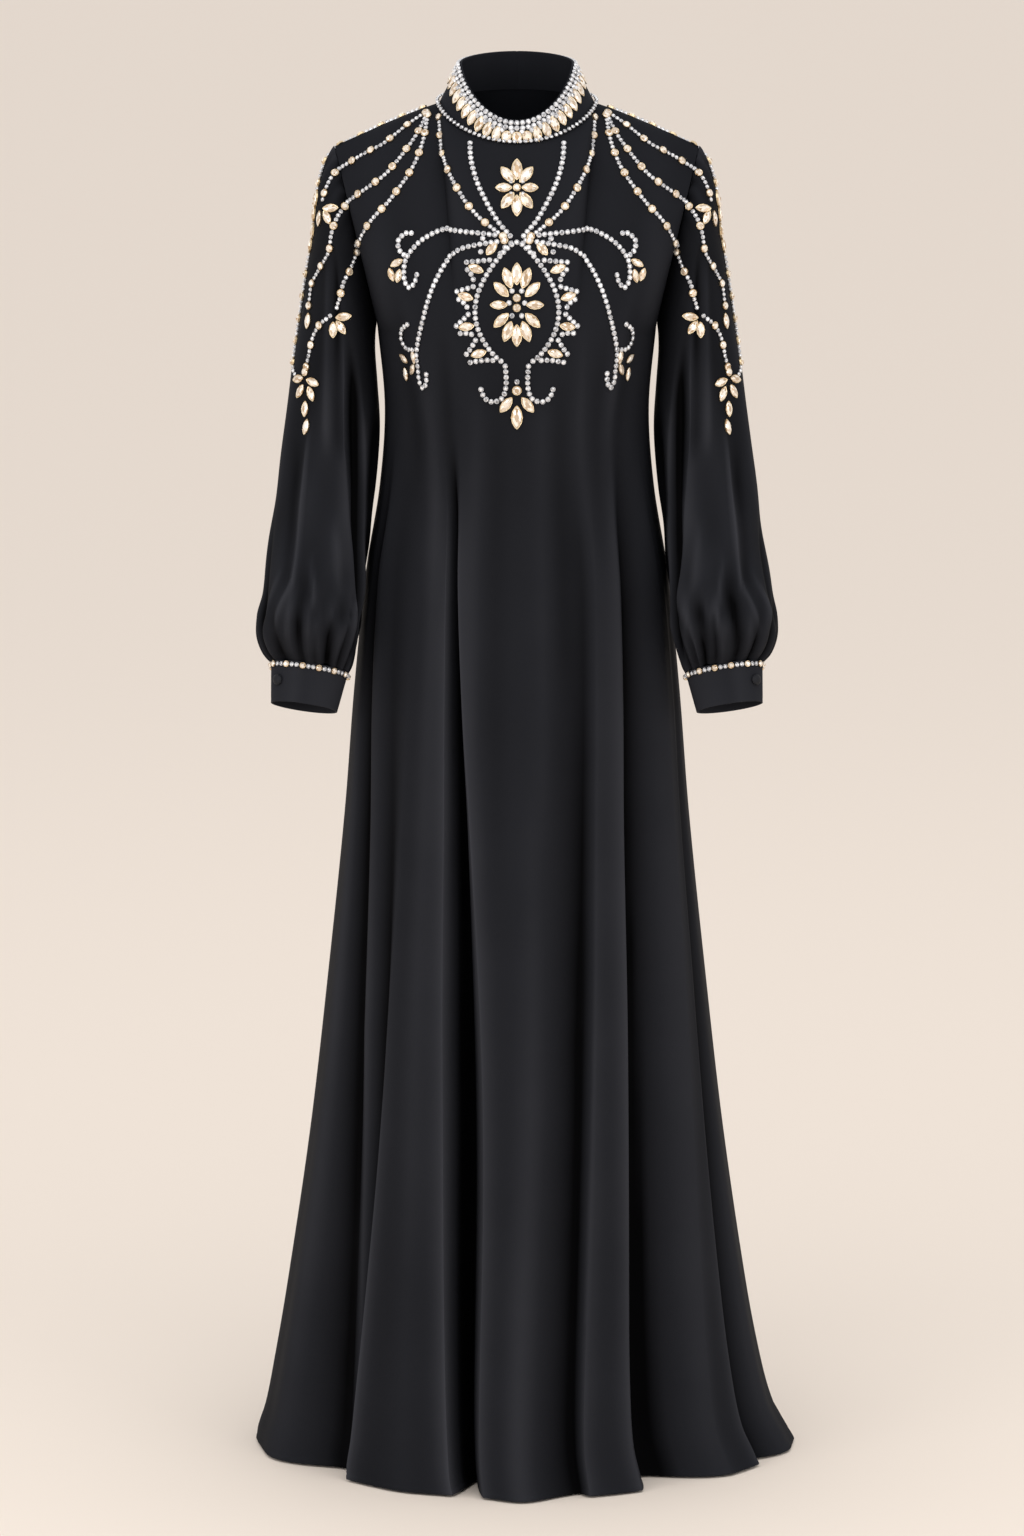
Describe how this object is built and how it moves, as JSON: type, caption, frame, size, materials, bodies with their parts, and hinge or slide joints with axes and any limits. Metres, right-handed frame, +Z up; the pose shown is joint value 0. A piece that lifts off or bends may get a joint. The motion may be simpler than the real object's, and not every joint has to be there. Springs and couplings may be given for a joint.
{
  "type": "abaya",
  "caption": "Floor-length loose abaya in matte crepe, in its worn form: stand collar, bishop sleeves in buttoned cuffs, and stones sewn on collar, chest, shoulders and cuffs.",
  "frame": {"origin": "middle of the neck, level with the high points of the shoulders, where the wearer carries the garment", "axes": "+X towards the wearer's left, -Y to the front, +Z up"},
  "size_m": [0.566, 0.487, 1.4677],
  "materials": {
    "crepe": "matte crepe with a soft satin sheen",
    "button_cloth": "cloth-covered dome",
    "stones": "faceted glass stones in small metal settings"
  },
  "bodies": {
    "root": {"front_panel": "crepe", "back_panel": "crepe", "sleeve_right": "crepe", "sleeve_left": "crepe", "cuff_right": "crepe", "cuff_left": "crepe", "collar": "crepe", "button_right": "button_cloth", "button_left": "button_cloth", "collar_stones": "stones", "neck_stones": "stones", "medallion_stones": "stones", "flower_upper": "stones", "flower_centre": "stones", "swags_right": "stones", "swags_left": "stones", "cuff_stones_right": "stones", "cuff_stones_left": "stones"}
  },
  "joints": []
}
